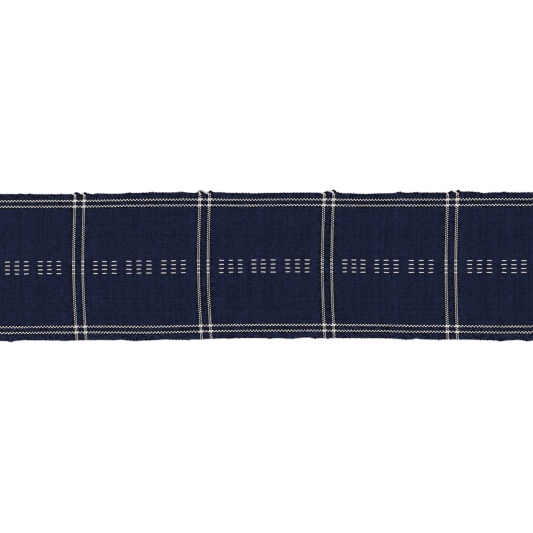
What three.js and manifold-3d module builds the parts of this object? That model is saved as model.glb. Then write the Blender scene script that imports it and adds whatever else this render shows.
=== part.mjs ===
// A cut length of hand-woven cotton trim tape, lying flat with its face up, in millimetres.
// X runs along the tape, Y across it from the front selvedge to the back one, and Z up from the
// surface that it lies on. The origin is under the middle of the tape, on that surface.
import * as THREE from 'three';
import { mergeVertices } from 'three/addons/utils/BufferGeometryUtils.js';
import Module from 'manifold-3d';

// Driving dimensions of the cloth.
const CUT_LENGTH = 414;
const NOMINAL_WIDTH = 101.6;
const CLOTH_THICKNESS = 1.15;
const SELVEDGE_HEIGHT = 0.55;
const SELVEDGE_DRAW_IN = 0.3;
const WARP_PITCH = 0.694;

// The weave repeats every 78 picks, a pick being one weft thread laid across the tape. In each
// repeat there are three groups of floats, and each group has three columns of four floats.
const REPEAT_PICKS = 78;
const GROUP_PICKS = [21, 42, 63];
const COLUMN_PICKS = [-6, 0, 6];
const FLOAT_ROWS = [-1.5, -0.5, 0.5, 1.5];
const FLOAT_ROW_ENDS = 4;

// A float is a white warp thread that passes over three picks and stands a little proud.
const FLOAT_LENGTH = 3.9;
const FLOAT_CROWN_LENGTH = 2.7;
const FLOAT_WIDTH = 1.0;
const FLOAT_RISE = 0.25;
const FLOAT_ROOT = 0.3;
const FLOAT_SIDES = 6;

// A loop of weft shows at each selvedge every second pick.
const PICKS_PER_TURN = 2;

// Where the picks lie along the tape: the weft was beaten up by hand, so they aren't even.
const BEAT = [
  { pick: -67, x: -206.5 },
  { pick: -57, x: -196.3 },
  { pick: -36, x: -173.2 },
  { pick: -15, x: -150.7 },
  { pick: 3.5, x: -130.7 },
  { pick: 21, x: -112.4 },
  { pick: 42, x: -88.6 },
  { pick: 63, x: -64.5 },
  { pick: 81.5, x: -43.9 },
  { pick: 99, x: -24.7 },
  { pick: 120, x: -2.2 },
  { pick: 141, x: 21.5 },
  { pick: 159.5, x: 42.0 },
  { pick: 177, x: 60.7 },
  { pick: 198, x: 83.1 },
  { pick: 219, x: 107.5 },
  { pick: 237.5, x: 128.0 },
  { pick: 255, x: 147.9 },
  { pick: 276, x: 171.8 },
  { pick: 297, x: 195.7 },
  { pick: 307, x: 206.5 },
];

// How the tape wanders. back and front are how far each selvedge stands out from half the
// nominal width, and middle is how far the middle thread lies towards the back.
const COURSE = [
  { x: -200, back: -0.8, middle: -1.5, front: 1.1 },
  { x: -180, back: -0.9, middle: -1.45, front: 1.2 },
  { x: -160, back: -0.95, middle: -1.25, front: 0.7 },
  { x: -140, back: -0.95, middle: -1.15, front: 0.8 },
  { x: -120, back: -0.6, middle: -1.05, front: 0.5 },
  { x: -100, back: -0.35, middle: -0.95, front: 0.6 },
  { x: -80, back: 0.2, middle: -0.75, front: 0.7 },
  { x: -60, back: 0.2, middle: -0.5, front: 0.4 },
  { x: -40, back: 0.2, middle: -0.35, front: -0.3 },
  { x: -20, back: -0.1, middle: -0.15, front: -0.8 },
  { x: 0, back: -0.1, middle: 0, front: -0.8 },
  { x: 20, back: 0.1, middle: 0.05, front: -0.8 },
  { x: 40, back: 0.05, middle: 0.05, front: -0.85 },
  { x: 60, back: -0.4, middle: 0, front: -0.8 },
  { x: 80, back: -0.4, middle: -0.3, front: -0.7 },
  { x: 100, back: 0.1, middle: -0.35, front: -0.1 },
  { x: 120, back: 0.15, middle: -0.35, front: 0.1 },
  { x: 140, back: 0.4, middle: -0.35, front: 0.2 },
  { x: 160, back: 0.3, middle: -0.35, front: 0.75 },
  { x: 180, back: 0.25, middle: -0.35, front: 0.75 },
  { x: 200, back: 0.2, middle: -0.35, front: 0.8 },
];

// Weft turns that stand out of a selvedge, or were pulled in, with a negative rise. The large
// ones at the back are where the white weft is carried over the edge from band to band.
const BACK_KNOBS = [
  { x: -172, rise: 0.4, reach: 1.5 },
  { x: -164.5, rise: 0.4, reach: 1.2 },
  { x: -132, rise: 0.9, reach: 2.0 },
  { x: -127, rise: 0.65, reach: 2.4 },
  { x: -120.5, rise: -0.35, reach: 2.8 },
  { x: -117, rise: 0.5, reach: 1.3 },
  { x: -110, rise: -0.3, reach: 3.0 },
  { x: -102, rise: -0.3, reach: 2.5 },
  { x: -95, rise: 0.35, reach: 2.0 },
  { x: -79, rise: 0.35, reach: 1.4 },
  { x: -58.5, rise: 0.45, reach: 2.6 },
  { x: -50.5, rise: -0.3, reach: 2.5 },
  { x: -45, rise: 1.3, reach: 2.2 },
  { x: -39, rise: 0.95, reach: 1.8 },
  { x: -33, rise: 0.3, reach: 4.0 },
  { x: -9, rise: -0.3, reach: 4.0 },
  { x: 39, rise: -0.4, reach: 1.0 },
  { x: 42, rise: 0.8, reach: 1.8 },
  { x: 46.5, rise: 1.9, reach: 2.4 },
  { x: 69, rise: -0.35, reach: 6.0 },
  { x: 92, rise: 0.75, reach: 2.2 },
  { x: 103, rise: 0.35, reach: 2.4 },
  { x: 128, rise: 0.7, reach: 2.0 },
  { x: 132.6, rise: 1.2, reach: 2.0 },
  { x: 140, rise: 0.5, reach: 4.5 },
  { x: 150.5, rise: -0.55, reach: 3.0 },
  { x: 165, rise: 0.6, reach: 1.5 },
];
const FRONT_KNOBS = [
  { x: -177.5, rise: 0.7, reach: 1.8 },
  { x: -169, rise: -0.35, reach: 4.0 },
  { x: -142, rise: 0.3, reach: 2.8 },
  { x: -101, rise: -0.3, reach: 3.0 },
  { x: -90, rise: 0.5, reach: 6.0 },
  { x: -71, rise: -0.4, reach: 6.0 },
  { x: -54, rise: 0.4, reach: 1.5 },
  { x: -46, rise: 0.3, reach: 3.0 },
  { x: -26, rise: 0.35, reach: 2.4 },
  { x: 2, rise: 0.5, reach: 1.7 },
  { x: 12.5, rise: 0.3, reach: 2.5 },
  { x: 19, rise: 0.5, reach: 2.4 },
  { x: 28, rise: -0.45, reach: 3.6 },
  { x: 34, rise: 0.45, reach: 1.2 },
  { x: 43, rise: 0.4, reach: 1.2 },
  { x: 97, rise: 0.4, reach: 4.0 },
  { x: 104, rise: -0.55, reach: 2.0 },
  { x: 120, rise: 0.3, reach: 2.0 },
  { x: 162.5, rise: 0.6, reach: 2.8 },
  { x: 173, rise: -0.35, reach: 3.5 },
  { x: 180, rise: 0.5, reach: 2.4 },
];

// A smooth curve through two named columns of a table.
function curveThrough(rows, from, to) {
  const positions = rows.map((row) => row[from]);
  const values = rows.map((row) => row[to]);
  const curve = new THREE.CubicInterpolant(positions, values, 1, new Float64Array(1));
  return (at) => curve.evaluate(at)[0];
}

const pickPlace = curveThrough(BEAT, 'pick', 'x');
const backWander = curveThrough(COURSE, 'x', 'back');
const middleWander = curveThrough(COURSE, 'x', 'middle');
const frontWander = curveThrough(COURSE, 'x', 'front');
const firstPick = BEAT[0].pick;
const lastPick = BEAT[BEAT.length - 1].pick;

// The cloth is cut straight across at both ends, and has a station at every weft turn between.
function stationPlaces() {
  const places = [-CUT_LENGTH / 2];
  for (let pick = firstPick + 1; pick < lastPick; pick += PICKS_PER_TURN) {
    places.push(pickPlace(pick));
  }
  places.push(CUT_LENGTH / 2);
  return places;
}

const stations = stationPlaces();

function nearestStation(x) {
  return stations.reduce((best, at) => (Math.abs(at - x) < Math.abs(best - x) ? at : best));
}

// What the knobs add at x: each is a smooth hump on the weft turn nearest to its place.
function knobRise(knobs, x) {
  return knobs.reduce((sum, knob) => {
    const away = (x - nearestStation(knob.x)) / knob.reach;
    return sum + knob.rise * Math.exp(-away * away);
  }, 0);
}

function backEdge(x) {
  return NOMINAL_WIDTH / 2 + backWander(x) + knobRise(BACK_KNOBS, x);
}

function frontEdge(x) {
  return -NOMINAL_WIDTH / 2 - frontWander(x) - knobRise(FRONT_KNOBS, x);
}

// The cloth cut across at x: flat above and below, with both selvedges drawn in to a soft edge.
function clothSection(x) {
  const back = backEdge(x);
  const front = frontEdge(x);
  const low = (CLOTH_THICKNESS - SELVEDGE_HEIGHT) / 2;
  const high = (CLOTH_THICKNESS + SELVEDGE_HEIGHT) / 2;
  return [
    new THREE.Vector3(x, front + SELVEDGE_DRAW_IN, 0),
    new THREE.Vector3(x, back - SELVEDGE_DRAW_IN, 0),
    new THREE.Vector3(x, back, low),
    new THREE.Vector3(x, back, high),
    new THREE.Vector3(x, back - SELVEDGE_DRAW_IN, CLOTH_THICKNESS),
    new THREE.Vector3(x, front + SELVEDGE_DRAW_IN, CLOTH_THICKNESS),
    new THREE.Vector3(x, front, high),
    new THREE.Vector3(x, front, low),
  ];
}

// A closed strip through the sections: quads between neighbours and a fan over each cut end.
function clothGeometry() {
  const sections = stations.map(clothSection);
  const around = sections[0].length;
  const triangles = [];
  for (let s = 0; s + 1 < sections.length; s += 1) {
    for (let p = 0; p < around; p += 1) {
      const here = s * around + p;
      const beside = s * around + ((p + 1) % around);
      triangles.push(here, beside, beside + around);
      triangles.push(here, beside + around, here + around);
    }
  }
  const last = (sections.length - 1) * around;
  for (let p = 1; p + 1 < around; p += 1) {
    triangles.push(0, p + 1, p);
    triangles.push(last, last + p, last + p + 1);
  }
  const geometry = new THREE.BufferGeometry().setFromPoints(sections.flat());
  geometry.setIndex(triangles);
  return geometry;
}

// One float: a long six-sided grain, pointed at both ends, whose root is sunk into the cloth.
function floatGeometry() {
  const crown = FLOAT_CROWN_LENGTH / FLOAT_LENGTH;
  const height = FLOAT_ROOT + FLOAT_RISE;
  const grain = new THREE.CylinderGeometry(crown, 1, height, FLOAT_SIDES, 1, false, Math.PI / 2);
  const flatToFlat = 2 * Math.cos(Math.PI / FLOAT_SIDES);
  grain.rotateX(Math.PI / 2);
  grain.scale(FLOAT_LENGTH / 2, FLOAT_WIDTH / flatToFlat, 1);
  grain.translate(0, 0, CLOTH_THICKNESS + FLOAT_RISE - height / 2);
  return grain;
}

// The place of every float that lies whole on this length.
function floatPlaces() {
  const places = [];
  const firstRepeat = Math.floor(firstPick / REPEAT_PICKS);
  const lastRepeat = Math.floor(lastPick / REPEAT_PICKS);
  for (let repeat = firstRepeat; repeat <= lastRepeat; repeat += 1) {
    for (const group of GROUP_PICKS) {
      for (const column of COLUMN_PICKS) {
        const pick = repeat * REPEAT_PICKS + group + column;
        const x = pickPlace(pick);
        for (const row of pick > firstPick && pick < lastPick ? FLOAT_ROWS : []) {
          const y = middleWander(x) + row * FLOAT_ROW_ENDS * WARP_PITCH;
          places.push(new THREE.Vector3(x, y, 0));
        }
      }
    }
  }
  return places;
}

const wasm = await Module();
wasm.setup();

function toSolid(geometry) {
  const bare = geometry.clone();
  bare.deleteAttribute('normal');
  bare.deleteAttribute('uv');
  const merged = mergeVertices(bare);
  return new wasm.Manifold(new wasm.Mesh({
    numProp: 3,
    vertProperties: new Float32Array(merged.attributes.position.array),
    triVerts: new Uint32Array(merged.index.array),
  }));
}

function toGeometry(solid) {
  const mesh = solid.getMesh();
  const geometry = new THREE.BufferGeometry();
  geometry.setAttribute('position', new THREE.BufferAttribute(mesh.vertProperties, 3));
  geometry.setIndex(new THREE.BufferAttribute(mesh.triVerts, 1));
  geometry.computeVertexNormals();
  return geometry;
}

function tapeGeometry() {
  let tape = toSolid(clothGeometry());
  for (const place of floatPlaces()) {
    tape = tape.add(toSolid(floatGeometry().translate(place.x, place.y, place.z)));
  }
  const geometry = toGeometry(tape);
  geometry.computeBoundingBox();
  const middle = geometry.boundingBox.getCenter(new THREE.Vector3());
  geometry.translate(-middle.x, -middle.y, 0);
  return geometry;
}

const navyCotton = new THREE.MeshStandardMaterial({
  color: 0x1b2139,
  roughness: 0.95,
  metalness: 0,
});

const tape = new THREE.Mesh(tapeGeometry(), navyCotton);
tape.name = 'tape';

const group = new THREE.Group();
group.add(tape);

export default group;
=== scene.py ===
# %% [markdown]
# A length of hand-woven cotton tape lies flat on a table, with its face up. The ground is navy. White warp
# threads run along both borders, white weft threads cross the tape in pairs, and short white floats stand in
# rows along its middle. The solid model is already packed, so this script loads it as a fixed frame. The tape
# could be one flat strip with a painted pattern, but real cloth shows its pattern because threads pass over
# and under each other. So each white thread is made here as a thread. Everything is woven on a straight, even
# loom first, and then settled into the slightly crooked strip, so the threads always stay together.

import math
import random

import bpy
import numpy as np
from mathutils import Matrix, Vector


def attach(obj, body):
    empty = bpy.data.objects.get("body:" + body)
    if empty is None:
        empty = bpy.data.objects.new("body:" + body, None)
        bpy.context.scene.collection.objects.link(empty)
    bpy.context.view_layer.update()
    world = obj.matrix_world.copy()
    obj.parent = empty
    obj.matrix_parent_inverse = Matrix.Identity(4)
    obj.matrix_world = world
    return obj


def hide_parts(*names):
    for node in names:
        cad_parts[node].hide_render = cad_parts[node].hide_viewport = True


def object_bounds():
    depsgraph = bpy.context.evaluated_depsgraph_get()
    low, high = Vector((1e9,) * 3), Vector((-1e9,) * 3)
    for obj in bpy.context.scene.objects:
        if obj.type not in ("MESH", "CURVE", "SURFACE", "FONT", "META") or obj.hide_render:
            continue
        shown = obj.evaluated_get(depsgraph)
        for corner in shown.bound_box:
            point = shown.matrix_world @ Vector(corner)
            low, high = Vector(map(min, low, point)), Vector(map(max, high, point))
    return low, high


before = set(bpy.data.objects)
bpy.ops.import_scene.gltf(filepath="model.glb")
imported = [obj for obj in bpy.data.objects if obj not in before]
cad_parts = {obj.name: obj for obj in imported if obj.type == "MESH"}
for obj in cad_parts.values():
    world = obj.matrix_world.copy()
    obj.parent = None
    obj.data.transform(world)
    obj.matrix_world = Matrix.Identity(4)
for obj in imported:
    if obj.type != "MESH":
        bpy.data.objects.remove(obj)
cad_low, cad_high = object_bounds()
print("the solid measures", [round(1000 * side, 1) for side in cad_high - cad_low], "mm")

# %% [markdown]
# A weaver counts cloth in threads. Warp threads, called ends, run along the tape, and weft threads, called
# picks, cross it. There are 149 ends across the width and 375 picks along this length. The pattern is set out
# by these counts, so a place on the loom is a pick number and a number of ends from the front selvedge.

# %% Sizes of the weave
MM = 0.001
CUT_LENGTH = 414 * MM
NOMINAL_WIDTH = 101.6 * MM
ENDS = 149
FIRST_PICK = -67
LAST_PICK = 307
PICKS = LAST_PICK - FIRST_PICK + 1
MIDDLE_PICK = (FIRST_PICK + LAST_PICK) / 2
MIDDLE_END = ENDS / 2
PICK_PITCH = CUT_LENGTH / PICKS
END_PITCH = NOMINAL_WIDTH / ENDS

# The white threads, by number. The white picks and the floats come again in every repeat of 78 picks.
REPEAT_PICKS = 78
BAND_PICKS = (0, 1, 6, 7)
FRONT_BORDER_ENDS = (7, 8, 13, 14)
BACK_BORDER_ENDS = (135, 136, 141, 142)
FLOAT_ROWS = (68, 72, 76, 80)
FLOAT_GROUPS = (21, 42, 63)
FLOAT_COLUMNS = (-6, 0, 6)

BORDER_ENDS = FRONT_BORDER_ENDS + BACK_BORDER_ENDS
REPEATS = range(FIRST_PICK // REPEAT_PICKS, LAST_PICK // REPEAT_PICKS + 1)
WHITE_PICKS = [
    REPEAT_PICKS * repeat + pick
    for repeat in REPEATS
    for pick in BAND_PICKS
    if FIRST_PICK <= REPEAT_PICKS * repeat + pick <= LAST_PICK
]
print(PICKS, "picks at", round(PICK_PITCH / MM, 3), "mm,", ENDS, "ends at", round(END_PITCH / MM, 3), "mm")

# %% [markdown]
# The real strip isn't straight. The weft was beaten up by hand, so the picks lie a little closer or wider in
# places. The borders wander, and both selvedges are uneven. These tables are the same as in the solid, in
# millimetres, with two columns more for the border lines. A smooth curve runs through each column. A table
# names its columns once, in its first line.

# %% How the picks lie along the tape
def table(columns, *rows):
    """Rows of values that go by the names of their columns."""
    return [dict(zip(columns.split(), row)) for row in rows]


BEAT = table(
    "pick x",
    (-67, -206.5),
    (-57, -196.3),
    (-36, -173.2),
    (-15, -150.7),
    (3.5, -130.7),
    (21, -112.4),
    (42, -88.6),
    (63, -64.5),
    (81.5, -43.9),
    (99, -24.7),
    (120, -2.2),
    (141, 21.5),
    (159.5, 42.0),
    (177, 60.7),
    (198, 83.1),
    (219, 107.5),
    (237.5, 128.0),
    (255, 147.9),
    (276, 171.8),
    (297, 195.7),
    (307, 206.5),
)


def smooth_curve(rows, along, value):
    """A smooth curve through two columns of a table, level beyond both its ends."""
    places = np.array([row[along] for row in rows], float)
    values = np.array([row[value] for row in rows], float)
    slopes = np.diff(values) / np.diff(places)
    tangents = np.concatenate((slopes[:1], (slopes[:-1] + slopes[1:]) / 2, slopes[-1:]))

    def curve(at):
        at = np.clip(at, places[0], places[-1])
        row = np.clip(np.searchsorted(places, at, side="right") - 1, 0, len(places) - 2)
        step = places[row + 1] - places[row]
        t = (at - places[row]) / step
        from_values = values[row] * (1 + 2 * t) * (1 - t) ** 2 + values[row + 1] * t * t * (3 - 2 * t)
        from_slopes = tangents[row] * t * (1 - t) ** 2 - tangents[row + 1] * t * t * (1 - t)
        return from_values + step * from_slopes

    return curve


beat_curve = smooth_curve(BEAT, "pick", "x")
END_BEAT = 1.0


def pick_place(pick):
    """Where a pick lies along the tape, in millimetres. Past the last pick the beat goes on evenly."""
    beyond = pick - np.clip(pick, FIRST_PICK, LAST_PICK)
    return beat_curve(pick) + END_BEAT * beyond


print("the middle pick lies at", round(float(pick_place(MIDDLE_PICK)), 1), "mm")

# %% How the tape wanders
# Each edge stands out from half the nominal width, and each line stands out from its own nominal place.
COURSE = table(
    "x back back_line middle front_line front",
    (-200, -0.8, -0.95, -1.5, 1.4, 1.1),
    (-180, -0.9, -0.93, -1.45, 1.33, 1.2),
    (-160, -0.95, -0.84, -1.25, 1.14, 0.7),
    (-140, -0.95, -0.75, -1.15, 0.98, 0.8),
    (-120, -0.6, -0.64, -1.05, 0.83, 0.5),
    (-100, -0.35, -0.2, -0.95, 0.95, 0.6),
    (-80, 0.2, 0.05, -0.75, 0.98, 0.7),
    (-60, 0.2, 0.18, -0.5, 0.55, 0.4),
    (-40, 0.2, 0.19, -0.35, 0.07, -0.3),
    (-20, -0.1, 0.04, -0.15, -0.2, -0.8),
    (0, -0.1, 0.16, 0, -0.36, -0.8),
    (20, 0.1, 0.35, 0.05, -0.37, -0.8),
    (40, 0.05, 0.22, 0.05, -0.38, -0.85),
    (60, -0.4, 0.03, 0, -0.24, -0.8),
    (80, -0.4, 0.05, -0.3, -0.06, -0.7),
    (100, 0.1, 0.16, -0.35, 0.37, -0.1),
    (120, 0.15, 0.16, -0.35, 0.39, 0.1),
    (140, 0.4, 0.29, -0.35, 0.61, 0.2),
    (160, 0.3, 0.43, -0.35, 0.82, 0.75),
    (180, 0.25, 0.44, -0.35, 0.78, 0.75),
    (200, 0.2, 0.44, -0.35, 0.78, 0.8),
)
HALF_WIDTH = NOMINAL_WIDTH / MM / 2
BACK_LINE = 43.94
FRONT_LINE = -43.25

wander = {name: smooth_curve(COURSE, "x", name) for name in COURSE[0] if name != "x"}
print("the middle wanders by", round(float(np.ptp([row["middle"] for row in COURSE])), 2), "mm")

# %% Knobs on the selvedges
# A knob is a weft turn that stands out, or was pulled in. The large ones are threads carried past white ones.
BACK_KNOBS = table(
    "x rise reach",
    (-172, 0.4, 1.5),
    (-164.5, 0.4, 1.2),
    (-132, 0.9, 2.0),
    (-127, 0.65, 2.4),
    (-120.5, -0.35, 2.8),
    (-117, 0.5, 1.3),
    (-110, -0.3, 3.0),
    (-102, -0.3, 2.5),
    (-95, 0.35, 2.0),
    (-79, 0.35, 1.4),
    (-58.5, 0.45, 2.6),
    (-50.5, -0.3, 2.5),
    (-45, 1.3, 2.2),
    (-39, 0.95, 1.8),
    (-33, 0.3, 4.0),
    (-9, -0.3, 4.0),
    (39, -0.4, 1.0),
    (42, 0.8, 1.8),
    (46.5, 1.9, 2.4),
    (69, -0.35, 6.0),
    (92, 0.75, 2.2),
    (103, 0.35, 2.4),
    (128, 0.7, 2.0),
    (132.6, 1.2, 2.0),
    (140, 0.5, 4.5),
    (150.5, -0.55, 3.0),
    (165, 0.6, 1.5),
)
FRONT_KNOBS = table(
    "x rise reach",
    (-177.5, 0.7, 1.8),
    (-169, -0.35, 4.0),
    (-142, 0.3, 2.8),
    (-101, -0.3, 3.0),
    (-90, 0.5, 6.0),
    (-71, -0.4, 6.0),
    (-54, 0.4, 1.5),
    (-46, 0.3, 3.0),
    (-26, 0.35, 2.4),
    (2, 0.5, 1.7),
    (12.5, 0.3, 2.5),
    (19, 0.5, 2.4),
    (28, -0.45, 3.6),
    (34, 0.45, 1.2),
    (43, 0.4, 1.2),
    (97, 0.4, 4.0),
    (104, -0.55, 2.0),
    (120, 0.3, 2.0),
    (162.5, 0.6, 2.8),
    (173, -0.35, 3.5),
    (180, 0.5, 2.4),
)
PICKS_PER_TURN = 2

turn_places = pick_place(np.arange(FIRST_PICK + 1, LAST_PICK, PICKS_PER_TURN))


def knob_rise(knobs, x):
    """What the knobs add to an edge at x. Each is a smooth hump on the weft turn nearest to its place."""
    total = np.zeros_like(x)
    for knob in knobs:
        turn = turn_places[np.argmin(np.abs(turn_places - knob["x"]))]
        total += knob["rise"] * np.exp(-(((x - turn) / knob["reach"]) ** 2))
    return total


back_reach = HALF_WIDTH + wander["back"](turn_places) + knob_rise(BACK_KNOBS, turn_places)
SOLID_SHIFT = cad_high.y / MM - back_reach.max()
print("the solid's middle is", round(-SOLID_SHIFT, 2), "mm off the nominal middle of the tape")

# %% [markdown]
# The picks also bow. Between the selvedges the middle of a pick lies behind its two ends, because the reed
# met the cloth a little unevenly, and the white bands show it as long shallow curves. The bow dies out at the
# two cut ends, which were cut straight across. One function moves a thread or a sheet from the straight loom
# to its place on the table, and keeps its loom place as an attribute that the materials can read. Between the
# selvedges, the border lines and the floats, a point keeps its share of the way across.

# %% From the loom to the table
BOW = table(
    "x back front",
    (-206, 0, 0),
    (-188, 0.6, 2.0),
    (-130.7, 1.0, 2.3),
    (-43.9, 1.1, 2.2),
    (42.0, 1.5, 1.8),
    (128.0, 1.25, 1.2),
    (188, 1.1, 1.2),
    (206, 0, 0),
)
BOW_POWER = 1.6
WAVE_RISE = 0.1
LONG_WAVE = {"x": 37, "y": 60}
SHORT_WAVE = {"x": 19, "y": 45, "start": 1.3}
EDGE_OUT = 0.02
EDGE_KNOB = 0.8
LOOSE_ENDS = 2

# Half the width of each border and of the rows of floats, and the ends on which those widths are measured.
BACK_LINE_SPREAD = 1.96
FRONT_LINE_SPREAD = 2.01
FLOAT_ROWS_HALF = 4.16
ANCHOR_ENDS = np.array([0, 8, 14, 68, 80, 136, 142, ENDS])

bow = {side: smooth_curve(BOW, "x", side) for side in ("back", "front")}


def loom_x(pick):
    return (pick - MIDDLE_PICK) * PICK_PITCH


def loom_y(end):
    return (end - MIDDLE_END) * END_PITCH


def ease(t):
    """A smooth step from 0 to 1."""
    t = np.clip(t, 0, 1)
    return t * t * (3 - 2 * t)


def bowed_x(pick, end):
    """Where a point of the loom comes to lie along the tape, with the bow of its pick."""
    x = pick_place(pick)
    side = (end - MIDDLE_END) / MIDDLE_END
    lag = np.where(side > 0, bow["back"](x), bow["front"](x))
    return x + lag * np.abs(side) ** BOW_POWER


def wandering_y(x, end, loose):
    """Where it comes to lie across the tape. Loose threads follow the knobs fully, and the cloth in part."""
    back_knob = knob_rise(BACK_KNOBS, x)
    front_knob = knob_rise(FRONT_KNOBS, x)
    back_kept = np.clip(back_knob, -EDGE_KNOB, EDGE_KNOB)
    front_kept = np.clip(front_knob, -EDGE_KNOB, EDGE_KNOB)
    back_line = BACK_LINE + wander["back_line"](x)
    front_line = FRONT_LINE - wander["front_line"](x)
    anchors = np.stack([
        -HALF_WIDTH - wander["front"](x) - front_kept - EDGE_OUT,
        front_line - FRONT_LINE_SPREAD,
        front_line + FRONT_LINE_SPREAD,
        wander["middle"](x) - FLOAT_ROWS_HALF,
        wander["middle"](x) + FLOAT_ROWS_HALF,
        back_line - BACK_LINE_SPREAD,
        back_line + BACK_LINE_SPREAD,
        HALF_WIDTH + wander["back"](x) + back_kept + EDGE_OUT,
    ])
    span = np.clip(np.searchsorted(ANCHOR_ENDS, end, side="right") - 1, 0, len(ANCHOR_ENDS) - 2)
    point = np.arange(len(x))
    share = (end - ANCHOR_ENDS[span]) / (ANCHOR_ENDS[span + 1] - ANCHOR_ENDS[span])
    y = anchors[span, point] * (1 - share) + anchors[span + 1, point] * share
    if loose:
        y += (back_knob - back_kept) * ease((end - ENDS + LOOSE_ENDS) / LOOSE_ENDS)
        y -= (front_knob - front_kept) * ease((LOOSE_ENDS - end) / LOOSE_ENDS)
    return y + SOLID_SHIFT


print("the back selvedge bows by", float(bow["back"](0.0)), "mm near the middle")

# %% Settle a piece on the table
def lift(x, y):
    """Soft waves under half a millimetre high, as cloth lies on a table. Nothing goes below the table."""
    long_wave = np.sin(x / LONG_WAVE["x"] + y / LONG_WAVE["y"])
    short_wave = np.sin(x / SHORT_WAVE["x"] - y / SHORT_WAVE["y"] + SHORT_WAVE["start"])
    return WAVE_RISE * (2 + long_wave + short_wave)


def points_of(mesh):
    """The places of a mesh's points, one row for each."""
    points = np.empty(3 * len(mesh.vertices))
    mesh.vertices.foreach_get("co", points)
    return points.reshape(-1, 3)


def settle(piece, loose=True):
    """Move a piece from the loom to the table."""
    mesh = piece.data
    points = points_of(mesh)
    pick = points[:, 0] / PICK_PITCH + MIDDLE_PICK
    end = points[:, 1] / END_PITCH + MIDDLE_END
    height = points[:, 2] / MM
    loom = mesh.attributes.new("loom", "FLOAT_VECTOR", "POINT")
    loom.data.foreach_set("vector", np.column_stack((pick, end, height)).ravel())
    x = bowed_x(pick, end)
    y = wandering_y(x, end, loose)
    placed = np.column_stack((x, y, height + lift(x, y))) * MM
    mesh.vertices.foreach_set("co", placed.ravel())
    mesh.update()


print("the waves of the cloth rise by at most", 4 * WAVE_RISE, "mm")

# %% [markdown]
# The camera hangs straight above the tape and frames 370 mm of it, so both cut ends are out of the picture. A
# long lens from under a metre away gives the flat look of a copy stand. The threads are finer than a pixel,
# and a denoiser or a wide pixel filter would smooth them away, so the one is off and the other is narrow. The
# table is a plain pale plane. A wide, soft lamp nearly overhead and an even sky light the cloth almost
# without a shadow, which is how cloth is shot for a catalogue.

# %% Camera
FRAME_WIDTH = 369.9 * MM
FRAME_CENTRE_Y = -0.35
LENS = 85
SENSOR = 36
FILTER_PIXELS = 1.2

camera_data = bpy.data.cameras.new("camera")
camera_data.lens = LENS
camera_data.sensor_width = SENSOR
camera = bpy.data.objects.new("camera", camera_data)
camera.location = (0, (FRAME_CENTRE_Y + SOLID_SHIFT) * MM, FRAME_WIDTH * LENS / SENSOR + cad_high.z)
bpy.context.scene.collection.objects.link(camera)
bpy.context.scene.camera = camera
bpy.context.scene.view_settings.view_transform = "Standard"
bpy.context.scene.cycles.use_denoising = False
bpy.context.scene.cycles.filter_width = FILTER_PIXELS
print("the camera is", round(camera.location.z, 3), "m above the table")

# %% Table and light
FLOOR_SIDE = 12
LAMP_SIDE = 1.6
LAMP_HEIGHT = 1.7
LAMP_ASIDE = 0.35
LAMP_WATTS = 21
SKY_STRENGTH = 0.72


def deselect_all():
    """Nothing selected, so that the next operator acts only on what is added or chosen after this."""
    if bpy.context.object and bpy.context.object.mode != "OBJECT":
        bpy.ops.object.mode_set(mode="OBJECT")
    bpy.ops.object.select_all(action="DESELECT")


def choose(*pieces):
    """Select these pieces and nothing else, and make the first of them active."""
    deselect_all()
    for piece in pieces:
        piece.select_set(True)
    bpy.context.view_layer.objects.active = pieces[0]


deselect_all()
bpy.ops.mesh.primitive_plane_add(size=FLOOR_SIDE)
floor = bpy.context.object
floor.name = "table_top"

lamp_data = bpy.data.lights.new("softbox", "AREA")
lamp_data.shape = "SQUARE"
lamp_data.size = LAMP_SIDE
lamp_data.energy = LAMP_WATTS
lamp = bpy.data.objects.new("softbox", lamp_data)
lamp.location = (-LAMP_ASIDE, LAMP_ASIDE, LAMP_HEIGHT)
lamp.rotation_mode = "QUATERNION"
lamp.rotation_quaternion = lamp.location.to_track_quat("Z", "Y")
bpy.context.scene.collection.objects.link(lamp)

sky = bpy.data.worlds.new("sky")
sky.use_nodes = True
sky.node_tree.nodes["Background"].inputs["Color"].default_value = (1, 1, 1, 1)
sky.node_tree.nodes["Background"].inputs["Strength"].default_value = SKY_STRENGTH
bpy.context.scene.world = sky
print("one lamp of", LAMP_WATTS, "watts and an even sky")

# %% [markdown]
# In plain weave each thread passes over one thread and under the next, and the next row does the opposite. So
# where the pick number and the end number add up to an even number the warp is on top, and elsewhere the weft
# is. A cosine along each thread gives its wave, which a weaver calls crimp. The height of a thread is
# measured at its middle, up from the table.

# %% Heights of the threads
MIDDLE_HEIGHT = 0.575
WARP_CRIMP = 0.30
WEFT_CRIMP = 0.30
FLAT_TOP = 0.4


def crimp(wave):
    """A wave from -1 to 1 that stays longer near its top and its bottom than a cosine."""
    return wave * (1 + FLAT_TOP * (1 - wave * wave))


def warp_wave(pick, end):
    """1 where warp thread number end is on top, and -1 where it is below."""
    return np.cos(np.pi * pick) * np.cos(np.pi * end)


def weft_height(pick, place):
    """The height of a weft thread at a place counted in ends, where the middle of end 0 is at 0.5."""
    return MIDDLE_HEIGHT + WEFT_CRIMP * crimp(-warp_wave(pick, place - 0.5))


def edit_points(piece, change):
    """Move a mesh's points by a function of their places, x, y and z."""
    mesh = piece.data
    mesh.vertices.foreach_set("co", np.column_stack(change(*points_of(mesh).T)).ravel())
    mesh.update()


def join(name, pieces):
    """Join meshes into the first of them."""
    choose(*pieces)
    if len(pieces) > 1:
        bpy.ops.object.join()
    pieces[0].name = name
    pieces[0].data.name = name
    return pieces[0]


def triangles(piece):
    return sum(len(face.vertices) - 2 for face in piece.data.polygons)


print("a thread swings", 2 * WARP_CRIMP, "mm up and down")

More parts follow.
